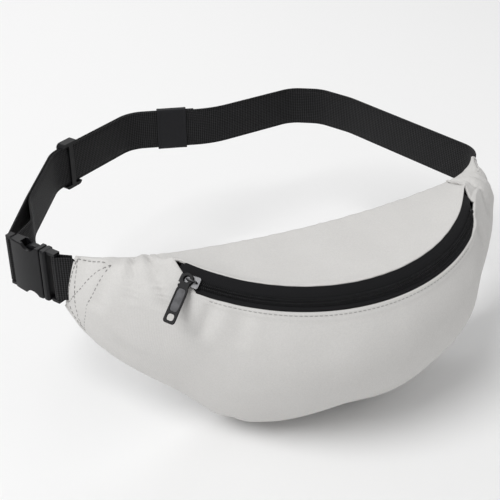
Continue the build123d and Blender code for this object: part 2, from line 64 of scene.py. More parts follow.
# ---- the bag's dimensions, in millimetres and degrees ----------------------------------------
WEB_W, WEB_T, WEB_GAP = 38.0, 1.6, 0.6
BACK_Y, MID_HALF, MID_TURN = -125.0, 134.0, 12.0
WING_LEN, WING_TURN_RIGHT, WING_TURN_LEFT, WING_SLANT = 56.0, 40.0, 26.0, 15.0
TOP, POUCH_H, WING_H, POUCH_D, WING_D, EDGE_DROP = 19.0, 156.0, 47.0, 83.0, 6.0, 1.5
HEIGHT_FADE, DEPTH_FADE, SHELF_FADE = 2.6, 1.85, 1.4
FOOT_OUT, FOOT_DROP, BELLY_OUT, BELLY_LOW = 0.827, 0.092, 1.42, 0.256
LIMIT = MID_HALF + WING_LEN
WEB_OUT = 3.4
ZIP_R, ZIP_TILT, ZIP_SLOPE, ZIP_W = 157.0, 11.4, 35.0, 17.5
ZIP_LEFT, ZIP_RIGHT, SLIDER_AT = -53.5, 52.0, -49.5
CHAIN_W, CHAIN_GAP, COIL_W, COIL_H, TAPE_T = 2.5, 0.5, 2.3, 1.7, 0.7
BUCKLE_DIR, BUCKLE_L, BAR_R, BAR_X = 119.5, 50.5, 1.5, 1.6
LOOP_R = BAR_R + 0.3 + WEB_T / 2
LAYERS = WEB_T + WEB_GAP


def vec(x, y, z=0.0):
    return np.array((x, y, z), float)


def unit(v):
    return v / np.linalg.norm(v)


ZIP_C = vec(0, -61.8, 43.2)
BUCKLE_FROM = vec(-196.7, -83.8)
SHELF, TOP_END, RING = 1.2, 2.0, 3.0     # places round the pouch: 0 foot, 1 zip, then these


# ---- camera first ------------------------------------------------------------------------------
def make_camera():
    data = bpy.data.cameras.new("camera")
    data.sensor_width, data.lens = 36.0, 72.0
    data.clip_start, data.clip_end = 0.05, 20.0
    cam = bpy.data.objects.new("camera", data)
    bpy.context.scene.collection.objects.link(cam)
    az, el = radians(-25.9), radians(32.0)
    back = Vector((sin(az) * cos(el), -cos(az) * cos(el), sin(el)))
    cam.location = (-0.341, -0.708, 0.415)
    cam.rotation_mode = "QUATERNION"
    cam.rotation_quaternion = (-back).to_track_quat("-Z", "Y")
    bpy.context.scene.camera = cam


make_camera()


# ---- the pouch's skin, as the frame has it -----------------------------------------------------
def back_point(s):
    side = 1 if s >= 0 else -1
    mid_r = MID_HALF / radians(MID_TURN)
    turn = min(abs(s), MID_HALF) / mid_r
    x, y = mid_r * sin(turn), mid_r * (1 - cos(turn))
    if abs(s) > MID_HALF:
        wing_r = WING_LEN / radians(WING_TURN_RIGHT if side > 0 else WING_TURN_LEFT)
        wing = turn + (abs(s) - MID_HALF) / wing_r
        x += wing_r * (sin(wing) - sin(turn))
        y += wing_r * (cos(turn) - cos(wing))
        turn = wing
    return vec(side * x, BACK_Y + y), side * degrees(turn)


def section_lean(s):
    side = 1 if s >= 0 else -1
    if abs(s) <= MID_HALF:
        return -side * MID_TURN * abs(s) / MID_HALF
    end = MID_TURN + (WING_TURN_RIGHT if side > 0 else WING_TURN_LEFT)
    return side * (-MID_TURN + (MID_TURN + end) * (abs(s) - MID_HALF) / WING_LEN)


def zip_radial(angle):
    tilt, a = radians(ZIP_TILT), radians(angle)
    return vec(sin(a), -cos(tilt) * cos(a), -sin(tilt) * cos(a))


ZIP_UP = vec(0, -sin(radians(ZIP_TILT)), cos(radians(ZIP_TILT)))


def band_radius(w, h=0.0):
    return ZIP_R + w * cos(radians(ZIP_SLOPE)) + h * sin(radians(ZIP_SLOPE))


def band_level(w, h=0.0):
    return h * cos(radians(ZIP_SLOPE)) - w * sin(radians(ZIP_SLOPE))


def band_point(angle, w, h=0.0):
    return ZIP_C + zip_radial(angle) * band_radius(w, h) + ZIP_UP * band_level(w, h)


def band_out(angle):
    return zip_radial(angle) * sin(radians(ZIP_SLOPE)) + ZIP_UP * cos(radians(ZIP_SLOPE))


def band_crossing(s, w):
    foot, _ = back_point(s)
    lean = radians(section_lean(s))
    out, along = vec(sin(lean), -cos(lean)), vec(cos(lean), sin(lean))
    centre = ZIP_C + ZIP_UP * band_level(w)
    a = zip_radial(0) @ along * band_radius(w)
    b = zip_radial(90) @ along * band_radius(w)
    k = (foot - centre) @ along
    found = [atan2(b, a) + sign * acos(k / hypot(a, b)) for sign in (1, -1)]
    point = max((band_point(degrees(x), w) for x in found), key=lambda p: (p - foot) @ out)
    return (point - foot) @ out, point[2]


def ease(t):
    t = np.clip(t, 0.0, 1.0)
    return t * t * (3 - 2 * t)


def section(s):
    """The pouch's section at s: its six corners and handles, its origin, and its two directions."""
    foot, heading = back_point(s)
    lean = radians(section_lean(s))
    side = 1 if s >= 0 else -1
    out = vec(sin(lean), -cos(lean))
    wing = max(0.0, (abs(s) - MID_HALF) / WING_LEN)
    tangent = vec(cos(radians(heading)), sin(radians(heading))) * side
    up = vec(0, 0, 1) - tangent * tan(radians(WING_SLANT)) * wing
    up = unit(up - out * (up @ out))
    part = abs(s) / LIMIT
    bottom = -WING_H - (POUCH_H - WING_H) * (1 - part ** HEIGHT_FADE)
    depth = (POUCH_D - WING_D) * (1 - part ** DEPTH_FADE) + WING_D
    at = max(-MID_HALF, min(MID_HALF, s))
    low, high = band_crossing(at, ZIP_W / 2), band_crossing(at, -ZIP_W / 2)
    shrink = (1 - wing) ** SHELF_FADE
    low_out, high_out = max(low[0] * shrink, 0.75 * WING_D), max(high[0] * shrink, 0.45 * WING_D)
    low_z = (low[1] - TOP) * shrink - EDGE_DROP * (1 - shrink)
    high_z = (high[1] - TOP) * shrink
    depth = max(depth, low_out)
    height = low_z - bottom
    corners = np.array([
        (0, bottom), (FOOT_OUT * depth, bottom - FOOT_DROP * depth),
        (BELLY_OUT * depth, low_z - BELLY_LOW * height), (low_out, low_z), (high_out, high_z), (0, 0),
    ])
    return corners, foot + vec(0, 0, TOP), out, up


def skin_row(s, places):
    p, origin, out, up = section(s)
    q = np.empty((len(places), 2))
    for k, r in enumerate(places):
        if r <= 1:
            q[k] = ((1 - r) ** 3 * p[0] + 3 * r * (1 - r) ** 2 * p[1] + 3 * r * r * (1 - r) * p[2]
                    + r ** 3 * p[3])
        elif r <= SHELF:
            q[k] = p[3] + (p[4] - p[3]) * (r - 1) / (SHELF - 1)
        elif r <= TOP_END:
            q[k] = p[4] + (p[5] - p[4]) * (r - SHELF) / (TOP_END - SHELF)
        else:
            q[k] = p[5] + (p[0] - p[5]) * (r - TOP_END)
    return origin + q[:, :1] * out + q[:, 1:] * up


def skin(stations, places):
    return np.array([skin_row(s, places) for s in stations])


# ---- mesh helpers --------------------------------------------------------------------------------
def add_object(name, points, faces, uvs=None):
    """A smooth mesh object from points in millimetres, with one uv pair, in metres, per face corner."""
    mesh = bpy.data.meshes.new(name)
    mesh.from_pydata([tuple(p) for p in np.asarray(points) * MM], [], faces)
    if uvs is not None:
        layer = mesh.uv_layers.new(name="cloth")
        layer.data.foreach_set("uv", np.asarray(uvs, np.float32).ravel())
    mesh.polygons.foreach_set("use_smooth", [True] * len(mesh.polygons))
    mesh.update()
    thing = bpy.data.objects.new(name, mesh)
    bpy.context.scene.collection.objects.link(thing)
    return thing


def grid_object(name, grid, us, vs, wrap=False, keep=None, caps=False):
    """A quad mesh over grid[i][j]; us and vs are the lengths along it, in millimetres, for its uv."""
    rows, cols = grid.shape[:2]
    index = np.arange(rows * cols).reshape(rows, cols)
    faces, uvs = [], []
    us, vs = np.asarray(us, float) * MM, np.asarray(vs, float) * MM
    if vs.ndim == 1:
        vs = np.tile(vs, (rows, 1))
    for i in range(rows - 1):
        for j in range(cols if wrap else cols - 1):
            if keep is not None and not keep(i, j):
                continue
            n = (j + 1) % cols
            quad = (index[i, j], index[i + 1, j], index[i + 1, n], index[i, n])
            faces.append(tuple(int(k) for k in quad))
            uvs += [(us[i], vs[i, j]), (us[i + 1], vs[i + 1, j]), (us[i + 1], vs[i + 1, j + 1]),
                    (us[i], vs[i, j + 1])]
    if caps:
        for i, turn in ((0, 1), (rows - 1, -1)):
            loop = [int(k) for k in index[i]][::turn]
            faces.append(tuple(loop))
            uvs += [(us[i], 0.0)] * len(loop)
    used = np.unique([k for face in faces for k in face])
    place = {int(k): n for n, k in enumerate(used)}
    faces = [tuple(place[k] for k in face) for face in faces]
    return add_object(name, grid.reshape(-1, 3)[used], faces, uvs)


def lengths(points):
    return np.concatenate([[0.0], np.cumsum(np.linalg.norm(np.diff(points, axis=0), axis=1))])


def normals(grid):
    across, up = np.gradient(grid, axis=0), np.gradient(grid, axis=1)
    n = np.cross(across, up)
    return n / np.maximum(np.linalg.norm(n, axis=2, keepdims=True), 1e-9)


def tube(name, path, radius, sides):
    """A round wire along a path, closed at both ends."""
    path = np.asarray(path, float)
    tangents = np.gradient(path, axis=0)
    tangents /= np.linalg.norm(tangents, axis=1, keepdims=True)
    side = np.cross(tangents[0], vec(0.31, 0.22, 0.92))
    rings = []
    for point, t in zip(path, tangents):
        side = unit(side - t * (side @ t))
        other = np.cross(t, side)
        turn = np.linspace(0, 2 * pi, sides, endpoint=False)
        rings.append(point + radius * (np.outer(np.cos(turn), side) + np.outer(np.sin(turn), other)))
    around = np.linspace(0, 2 * pi * radius, sides + 1)
    return grid_object(name, np.array(rings), lengths(path), around, wrap=True, caps=True)


def rounded(points, radii, step=2.0):
    """Dense points along a route in plan whose corners are arcs of these radii."""
    points = [np.asarray(p, float) for p in points]
    line = [points[0]]
    for before, corner, after, radius in zip(points, points[1:], points[2:], radii):
        d1, d2 = unit(corner - before), unit(after - corner)
        angle = acos(max(-1.0, min(1.0, float(d1 @ d2))))
        if angle < 1e-4:
            line.append(corner)
            continue
        cut = radius * tan(angle / 2)
        centre = corner - d1 * cut + unit(d2 - d1 * (d1 @ d2)) * radius
        arm = (corner - d1 * cut) - centre
        for k in range(13):
            a = angle * k / 12
            line.append(centre + arm * cos(a) + d1 * radius * sin(a))
    line.append(points[-1])
    return resample(np.array(line), step)


def resample(line, step):
    run = lengths(line)
    marks = np.linspace(0, run[-1], max(3, int(run[-1] / step) + 1))
    return np.stack([np.interp(marks, run, line[:, k]) for k in range(3)], axis=1)


def turned(direction, angle):
    c, s = cos(radians(angle)), sin(radians(angle))
    return vec(direction[0] * c - direction[1] * s, direction[0] * s + direction[1] * c)


# ---- materials -----------------------------------------------------------------------------------
class Nodes:
    """A material with its Principled shader, and short calls that add nodes to it."""

    def __init__(self, name, **values):
        self.material = bpy.data.materials.new(name)
        self.material.use_nodes = True
        self.tree = self.material.node_tree
        self.shader = next(n for n in self.tree.nodes if n.type == "BSDF_PRINCIPLED")
        for key, value in values.items():
            self.shader.inputs[key.replace("_", " ")].default_value = value

    def node(self, kind, **values):
        node = self.tree.nodes.new(kind)
        for key, value in values.items():
            if hasattr(node, key):
                setattr(node, key, value)
            else:
                node.inputs[key.replace("_", " ")].default_value = value
        return node

    def link(self, a, b):
        self.tree.links.new(a, b)

    def coords(self, kind="UV"):
        return self.node("ShaderNodeTexCoord").outputs[kind]

    def noise(self, coords, scale, detail=2.0):
        node = self.node("ShaderNodeTexNoise", Scale=scale, Detail=detail)
        self.link(coords, node.inputs["Vector"])
        return node.outputs["Fac"]

    def wave(self, coords, pitch, direction):
        """Bands of this pitch, in metres, a little uneven."""
        node = self.node("ShaderNodeTexWave", Scale=2 * pi / 20 / pitch, Distortion=0.6)
        node.bands_direction = direction
        self.link(coords, node.inputs["Vector"])
        return node.outputs["Fac"]

    def math(self, kind, a, b):
        node = self.node("ShaderNodeMath", operation=kind)
        for value, socket in ((a, node.inputs[0]), (b, node.inputs[1])):
            if isinstance(value, (int, float)):
                socket.default_value = value
            else:
                self.link(value, socket)
        return node.outputs[0]

    def ramp(self, fac, low, high, start=0.0, end=1.0):
        node = self.node("ShaderNodeValToRGB")
        first, last = node.color_ramp.elements
        first.position, last.position = start, end
        first.color, last.color = (*low, 1), (*high, 1)
        self.link(fac, node.inputs["Fac"])
        return node.outputs["Color"]

    def bump(self, height, distance):
        node = self.node("ShaderNodeBump", Strength=1.0, Distance=distance)
        self.link(height, node.inputs["Height"])
        self.link(node.outputs["Normal"], self.shader.inputs["Normal"])

    def colour(self, socket):
        self.link(socket, self.shader.inputs["Base Color"])

    def roughness(self, fac, low, high):
        node = self.node("ShaderNodeMapRange")
        node.inputs["To Min"].default_value = low
        node.inputs["To Max"].default_value = high
        self.link(fac, node.inputs["Value"])
        self.link(node.outputs["Result"], self.shader.inputs["Roughness"])


def scaled(colour, k):
    return tuple(min(1.0, c * k) for c in colour)


def woven(name, colour, pitch, depth, roughness, sheen, mottle=0.06, rib=0.0, tilt=0.0, thread=0.38):
    """Cloth: warp and weft of a pitch, and bumps of a depth, both in metres; mottle is the share by which
    the colour varies, and thread the part of that which follows the threads."""
    m = Nodes(name, Roughness=roughness, Sheen_Weight=sheen, Sheen_Roughness=0.45, Specular_IOR_Level=0.15)
    uv = m.coords()
    if tilt:
        turn = m.node("ShaderNodeMapping")
        turn.inputs["Rotation"].default_value = (0, 0, radians(tilt))
        m.link(uv, turn.inputs["Vector"])
        uv = turn.outputs["Vector"]
    warp = m.wave(uv, pitch, "X")
    weft = m.wave(uv, pitch * (1.0 - rib * 0.35), "Y")
    threads = m.math("ADD", m.math("MULTIPLY", warp, 0.5 + rib / 2),
                     m.math("MULTIPLY", weft, 0.5 - rib / 2))
    clouds = m.noise(m.coords("Object"), 55.0, 4.0)
    grain = m.noise(m.coords("Object"), 900.0, 1.0)
    fuzz = m.noise(m.coords("Object"), 2600.0, 2.0)
    spots = m.math("ADD", m.math("MULTIPLY", clouds, 0.3), m.math("MULTIPLY", grain, 0.7))
    tone = m.math("ADD", m.math("MULTIPLY", spots, 1 - thread), m.math("MULTIPLY", threads, thread))
    m.colour(m.ramp(tone, scaled(colour, 1 - mottle * 2), scaled(colour, 1 + mottle * 2), 0.25, 0.8))
    m.bump(m.math("ADD", threads, m.math("MULTIPLY", fuzz, 0.5)), depth)
    return m.material


def moulded(name, colour, roughness, gloss=0.2):
    """Moulded plastic: a fine grain, and gloss that varies with handling."""
    m = Nodes(name, Specular_IOR_Level=gloss)
    where = m.coords("Object")
    worn = m.noise(where, 90.0, 3.0)
    m.colour(m.ramp(worn, scaled(colour, 0.85), scaled(colour, 1.35), 0.3, 0.75))
    m.roughness(worn, roughness * 0.8, roughness * 1.25)
    m.bump(m.noise(where, 900.0, 3.0), 0.00004)
    return m.material


def metal(name, colour, roughness):
    """Plated metal with fine brush marks and a little tarnish."""
    m = Nodes(name, Metallic=1.0)
    where = m.coords("Object")
    stretch = m.node("ShaderNodeMapping")
    stretch.inputs["Scale"].default_value = (1.0, 1.0, 12.0)
    m.link(where, stretch.inputs["Vector"])
    marks = m.noise(stretch.outputs["Vector"], 700.0, 4.0)
    tarnish = m.noise(where, 260.0, 2.0)
    m.colour(m.ramp(tarnish, scaled(colour, 0.72), scaled(colour, 1.1), 0.3, 0.7))
    m.roughness(marks, roughness * 0.75, roughness * 1.3)
    m.bump(marks, 0.00003)
    return m.material


CLOTH = (0.63, 0.62, 0.605)
cloth_mat = woven("pouch_cloth", CLOTH, 0.0005, 0.00004, 0.85, 0.1, mottle=0.045)
back_mat = woven("back_cloth", scaled(CLOTH, 0.95), 0.0010, 0.0001, 0.88, 0.1, mottle=0.04)
thread_mat = woven("grey_thread", scaled(CLOTH, 0.62), 0.0004, 0.00005, 0.7, 0.2)
wing_thread = woven("dark_grey_thread", scaled(CLOTH, 0.50), 0.0004, 0.00005, 0.7, 0.2)
web_mat = woven("webbing_weave", (0.016, 0.016, 0.017), 0.0019, 0.0004, 0.7, 0.05, mottle=0.49, rib=0.2,
                thread=0.92)
tape_mat = woven("zip_tape_weave", (0.010, 0.010, 0.011), 0.0011, 0.0002, 0.8, 0.03, mottle=0.12, tilt=38)
keeper_mat = woven("keeper_cloth", (0.016, 0.016, 0.018), 0.0007, 0.00008, 0.6, 0.06, mottle=0.1)
coil_mat = moulded("nylon_coil", (0.012, 0.012, 0.013), 0.38)
plastic_mat = moulded("buckle_plastic", (0.007, 0.007, 0.008), 0.36)
steel_mat = metal("plated_steel", (0.09, 0.09, 0.093), 0.36)
gunmetal_mat = metal("gunmetal_face", (0.045, 0.045, 0.047), 0.42)
rim_mat = moulded("lacquered_rim", (0.008, 0.008, 0.009), 0.34, gloss=0.08)


def dress(thing, material, body, slot, *nodes):
    """Gives a new piece its material and body, and hides the frame's nodes that it stands for; slot is not
    used.
    """
    thing.data.materials.clear()
    thing.data.materials.append(material)
    if body:
        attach(thing, body)
    if nodes:
        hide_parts(*nodes)
    return thing


# ---- the pouch's cloth: swelled by simulation, then seamed and creased ------------------------------
SIM_S = np.concatenate([np.linspace(-LIMIT, -MID_HALF, 12), np.linspace(-MID_HALF, MID_HALF, 55)[1:-1],
                        np.linspace(MID_HALF, LIMIT, 12)])
SIM_R = np.concatenate([np.linspace(0, 1, 45)[:-1], np.linspace(1, SHELF, 4)[:-1],
                        np.linspace(SHELF, TOP_END, 15)[:-1], np.linspace(TOP_END, RING, 31)[:-1]])


SIM_STEPS, TAKEN = 20, 0.7      # frames of simulation, and the share of its swelling that is kept


def swell():
    """Displacement of the skin when the stuffed bag's cloth, held along its seams, takes up its slack."""
    base = skin(SIM_S, SIM_R)
    bag = grid_object("swell", base, SIM_S, np.append(SIM_R, RING), wrap=True)
    pins = bag.vertex_groups.new(name="pin")
    ss, rr = np.meshgrid(SIM_S, SIM_R, indexing="ij")
    inside = np.abs(ss) <= MID_HALF + 0.1
    held = (rr < 0.001) | (np.abs(rr - TOP_END) < 0.001) | (np.abs(ss) > LIMIT - 6)
    held |= inside & (rr > 0.999) & (rr < SHELF + 0.001)
    held |= (np.abs(np.abs(ss) - MID_HALF) < 0.1) & (rr >= 1) & (rr <= TOP_END)
    pins.add([int(k) for k in np.flatnonzero(held.ravel())], 1.0, "REPLACE")
    cloth = bag.modifiers.new("Cloth", "CLOTH")
    setting = cloth.settings
    setting.quality, setting.mass = 6, 0.25
    setting.tension_stiffness = setting.compression_stiffness = 14
    setting.shear_stiffness, setting.bending_stiffness = 6, 0.35
    setting.use_pressure, setting.uniform_pressure_force = True, 3.0
    setting.shrink_min = -0.022
    setting.vertex_group_mass, setting.pin_stiffness = "pin", 1.0
    setting.effector_weights.gravity = 0
    cloth.collision_settings.use_collision = False
    cloth.point_cache.frame_end = SIM_STEPS
    for step in range(1, SIM_STEPS + 1):
        bpy.context.scene.frame_set(step)
    moved = bag.evaluated_get(bpy.context.evaluated_depsgraph_get()).data
    after = np.empty(len(moved.vertices) * 3)
    moved.vertices.foreach_get("co", after)
    change = after.reshape(base.shape) / MM - base
    bpy.data.objects.remove(bag)
    bpy.context.scene.frame_set(1)
    cap = np.where(rr <= 1, 6.0, np.where(rr <= TOP_END, 4.0, 3.0))[..., None]     # front, top, back
    size = np.linalg.norm(change, axis=2, keepdims=True)
    change = TAKEN * change * cap * np.tanh(size / cap) / np.maximum(size, 1e-6)
    for _ in range(6):
        level = (change + np.roll(change, 1, 1) + np.roll(change, -1, 1)) / 3
        level[1:-1] = (level[:-2] + level[1:-1] + level[2:]) / 3
        change = np.where(held[..., None], change, level)
    return change


def smooth_sample(field, stations, places):
    """The field on the simulated skin, read at other places by cubic interpolation."""
    def weights(index):
        low = np.floor(index).astype(int)
        t = index - low
        w = np.stack([-t + 2 * t ** 2 - t ** 3, 2 - 5 * t ** 2 + 3 * t ** 3,
                      t + 4 * t ** 2 - 3 * t ** 3, -t ** 2 + t ** 3]) / 2
        return low, w
    i, wi = weights(np.interp(stations, SIM_S, np.arange(len(SIM_S))))
    j, wj = weights(np.interp(places, np.append(SIM_R, RING), np.arange(len(SIM_R) + 1)))
    result = 0
    for a in range(4):
        rows = field[np.clip(i + a - 1, 0, len(SIM_S) - 1)]
        for b in range(4):
            result = result + wi[a][:, None, None] * wj[b][None, :, None] * rows[:, (j + b - 1) % len(SIM_R)]
    return result


def crowded(low, high, step, fine=0.9, reach=7.0):
    """Values from low to high that stand closer together near both ends."""
    half, values, at = (high - low) / 2, [0.0], 0.0
    while at < half:
        at += fine + (step - fine) * min(1.0, at / reach)
        values.append(min(at, half))
    values = np.array(values)
    return np.concatenate([low + values, (high - values)[::-1][1:]])


def bump_at(distance, width):
    return np.exp(-(distance / width) ** 2)


field = swell()
FRONT_S = np.concatenate([crowded(-LIMIT + 0.4, -MID_HALF - 0.4, 2.2),
                          crowded(-MID_HALF - 0.4, MID_HALF + 0.4, 2.4)[1:-1],
                          crowded(MID_HALF + 0.4, LIMIT - 0.4, 2.2)])
foot_to_zip = crowded(0.0, 226.0, 2.6) / 226.0
FRONT_R = np.concatenate([foot_to_zip * 0.996, np.linspace(1.0, SHELF, 8)[1:],
                          crowded(SHELF, TOP_END, 0.05, 0.012, 0.1)[1:]])
front = skin(FRONT_S, FRONT_R) + smooth_sample(field, FRONT_S, FRONT_R)

# Where the filled bag stands out from its plain skin, or sags in where its height is below 0: place
# (s, r), reach along s in millimetres and along r, and height in millimetres.
FULLNESS = [(-90.0, 0.19, 34.0, 0.16, 6.0), (114.0, 0.60, 34.0, 0.24, 7.5), (-10.0, 0.35, 36.0, 0.16, -5.5)]
full = sum(high * np.outer(np.exp(-((FRONT_S - s) / ds) ** 2), np.exp(-((FRONT_R - r) / dr) ** 2))
           for s, r, ds, dr, high in FULLNESS)
full *= ease(FRONT_R / 0.12) * ease((1.0 - FRONT_R) / 0.2)
front = front + normals(front) * full[..., None]

# In the wings the zip's shelf is worked out of the cloth, by averaging along r near it.
wing_share = ease((np.abs(FRONT_S) - MID_HALF) / 10)
for _ in range(70):
    inner = front[:, 1:-1] + 0.5 * wing_share[:, None, None] * (
        (front[:, 2:] + front[:, :-2]) / 2 - front[:, 1:-1])
    window = np.clip((FRONT_R[1:-1] - 0.5) / 0.25, 0, 1) * np.clip((TOP_END - FRONT_R[1:-1]) / 0.1, 0, 1)
    front[:, 1:-1] += window[None, :, None] * (inner - front[:, 1:-1])

# The wings run into the pocket without a ridge: places along the bag are averaged near the change.
spacing = np.gradient(FRONT_S)
kernel = np.exp(-((FRONT_S[:, None] - FRONT_S[None, :]) / 11.0) ** 2) * spacing[None, :]
kernel /= kernel.sum(axis=1, keepdims=True)
level = np.einsum("ik,kjc->ijc", kernel, front)
near_change = 1 - ease((np.abs(np.abs(FRONT_S) - MID_HALF) - 12) / 16)
held_edge = ease(FRONT_R / 0.10) * (1 - ease((FRONT_R - 0.84) / 0.14))
front = front + (near_change[:, None] * held_edge)[..., None] * (level - front)

# At its right end the zip narrows: the front's cloth is drawn up over the lower tape and the chain.
zip_col = int(np.searchsorted(FRONT_R, 0.9965)) - 1
FOLD, FOLD_FROM, FOLD_RUN = 14.2, 117.0, 17.0
fold = FOLD * ease((FRONT_S - FOLD_FROM) / FOLD_RUN) * (1 - ease((FRONT_S - MID_HALF - 2) / 24))
below_zip = np.linalg.norm(front - front[:, zip_col:zip_col + 1], axis=2)
drawn = np.where(FRONT_R <= 1.0, 1 - ease(below_zip / 34.0), np.clip((SHELF - FRONT_R) / (SHELF - 1), 0, 1))
shelf_dir = skin(FRONT_S, [SHELF]) - skin(FRONT_S, [1.0])
shelf_dir /= np.maximum(np.linalg.norm(shelf_dir, axis=2, keepdims=True), 1e-6)
front = front + shelf_dir * (fold[:, None] * drawn)[..., None]


def surface_at(grid, stations, places, s, r):
    i = np.interp(s, stations, np.arange(len(stations)))
    j = np.interp(r, places, np.arange(len(places)))
    i0, j0 = min(int(i), len(stations) - 2), min(int(j), len(places) - 2)
    a, b = i - i0, j - j0
    return ((1 - a) * (1 - b) * grid[i0, j0] + a * (1 - b) * grid[i0 + 1, j0]
            + (1 - a) * b * grid[i0, j0 + 1] + a * b * grid[i0 + 1, j0 + 1])


# Creases: from (s, r) to (s, r), width in millimetres, and depth, which CREASE_DEEP turns to millimetres.
CREASES = [
    ((-139.5, 1.75), (-146.0, 0.86), 2.2, 2.3), ((-147.0, 1.95), (-156.0, 0.86), 2.8, 2.0),
    ((-137.5, 1.00), (-143.0, 0.84), 3.0, 0.8), ((-153.0, 1.90), (-170.0, 0.70), 5.0, 1.4),
    ((-128.0, 0.975), (-134.0, 0.74), 5.0, 1.3), ((-112.0, 0.97), (-116.0, 0.80), 6.0, 0.8),
    ((138.0, 1.70), (147.0, 0.86), 3.6, 1.8), ((146.0, 1.90), (160.0, 0.90), 4.5, 1.4),
    ((129.0, 0.97), (136.0, 0.76), 5.0, 1.1), ((155.0, 1.80), (170.0, 0.60), 5.0, 1.2),
    ((-172.0, 0.48), (-146.0, 0.36), 8.0, 0.5), ((170.0, 0.50), (146.0, 0.40), 8.0, 0.5),
    ((-60.0, 0.03), (-52.0, 0.20), 6.0, 0.9), ((40.0, 0.03), (34.0, 0.18), 6.0, 0.8),
    ((92.0, 0.02), (84.0, 0.20), 6.0, 1.0), ((-100.0, 0.02), (-92.0, 0.22), 6.0, 1.0),
]


CREASE_DEEP = 1.7


def creased(grid, stations, places):
    depth = np.zeros(grid.shape[:2])
    for a, b, width, deep in CREASES:
        line = [surface_at(grid, stations, places, a[0] + (b[0] - a[0]) * t, a[1] + (b[1] - a[1]) * t)
                for t in np.linspace(0, 1, 24)]
        gap = np.linalg.norm(grid[:, :, None] - np.array(line)[None, None], axis=3)
        nearest = gap.argmin(axis=2)
        gap = gap.min(axis=2)
        fade = np.sin(np.pi * np.clip((nearest + 3) / 30, 0, 1)) ** 0.7
        profile = 0.45 * bump_at(gap - 1.9 * width, width) - bump_at(gap, width)
        depth += CREASE_DEEP * deep * fade * profile
    return depth


def edge_run(grid, axis, last):
    """Distance along the cloth from its first or last row or column."""
    step = np.linalg.norm(np.diff(grid, axis=axis), axis=2)
    zero = np.zeros((1, grid.shape[1])) if axis == 0 else np.zeros((grid.shape[0], 1))
    run = np.concatenate([zero, np.cumsum(step, axis=axis)], axis=axis)
    return (run[-1:] if axis == 0 else run[:, -1:]) - run if last else run


HEM_ROW = 3.2       # from the cloth's edge to its row of stitches


def hem(distance):
    """A folded and topstitched edge: proud of the tape, rounded over, with its stitches drawn in."""
    proud = 0.9 * np.clip((7.5 - distance) / 2.5, 0, 1)
    return proud - 0.5 * bump_at(distance - HEM_ROW, 0.9) - 0.6 * bump_at(distance, 0.7)


def puckers(along, distance):
    wobble = np.sin(along / 2.1 + 1.7 * np.sin(along / 9.7)) + 0.6 * np.sin(along / 5.3 + 0.8)
    return 0.28 * wobble * bump_at(distance, 8.0)


inside = (np.abs(FRONT_S) < MID_HALF + 0.5)[:, None]
to_zip = np.abs(edge_run(front[:, :zip_col + 1], 1, True))
to_zip = np.concatenate([to_zip, np.full((len(FRONT_S), len(FRONT_R) - zip_col - 1), 99.0)], axis=1)
to_foot, to_back = edge_run(front, 1, False), edge_run(front, 1, True)
to_side = np.where(FRONT_R > 1.25, np.abs(np.abs(FRONT_S)[:, None] - MID_HALF - 0.4), 99.0)
to_end = LIMIT - np.abs(FRONT_S)[:, None] + 0 * to_foot
near_zip_end = np.clip((MID_HALF + 2 - np.abs(FRONT_S)[:, None]) / 4, 0, 1)
lift = creased(front, FRONT_S, FRONT_R)
lift += near_zip_end * hem(to_zip)
lift += -1.2 * bump_at(to_foot, 2.2) + puckers(FRONT_S[:, None], to_foot)
lift += (-0.9 * bump_at(to_back, 1.8) - 2.0 * bump_at(to_side, 2.4)) * (1 - inside)
lift += 0.5 * puckers(FRONT_R[None, :] * 60, to_side) * (1 - inside)
lift += -0.4 * bump_at(to_end - 3.5, 0.8)
lift += 2.6 * (ease((FRONT_S - 119) / 6) * (1 - ease((FRONT_S - 140) / 10)))[:, None] * bump_at(to_zip, 12.0)
front = front + normals(front) * lift[..., None]

# Straight sewing lines on each wing: a box with its diagonals, where the webbing is sewn in.
WING_BOX = [(187.5, 1.12), (164.5, 1.22), (175.0, 0.12), (188.0, 0.28)]
wing_lines = {}
for side, word in ((-1, "left"), (1, "right")):
    box = [surface_at(front, FRONT_S, FRONT_R, side * s, r) for s, r in WING_BOX]
    near = np.abs(FRONT_S - side * 172) < 20
    patch, facing = front[near], normals(front)[near]
    wing_lines[word] = []
    for first, last in ((0, 1), (1, 2), (2, 3), (3, 0), (0, 2), (1, 3)):
        line, outward = [], []
        for t in np.linspace(0, 1, 30):
            spot = box[first] + (box[last] - box[first]) * t
            for _ in range(4):
                gap = np.linalg.norm(patch - spot, axis=2)
                share = np.exp(-((gap - gap.min()) / 1.5) ** 2)[..., None]
                n = unit((facing * share).sum(axis=(0, 1)))
                i, j = np.unravel_index(gap.argmin(), gap.shape)
                spot = spot + n * ((patch[i, j] - spot) @ n)
            line.append(spot)
            outward.append(n)
        wing_lines[word].append((np.array(line), np.array(outward)))
    marks = np.concatenate([line for line, _ in wing_lines[word]])
    gap = np.linalg.norm(patch[:, :, None] - marks[None, None], axis=3).min(axis=2)
    front[near] = patch - facing * (0.55 * bump_at(gap, 1.2))[..., None]
    for line, outward in wing_lines[word]:
        line -= outward * 0.45
front_v = edge_run(front, 1, False)
front_cloth = grid_object(
    "front_cloth", front, FRONT_S, front_v,
    keep=lambda i, j: j < zip_col or min(abs(FRONT_S[i]), abs(FRONT_S[i + 1])) > MID_HALF + 0.3)

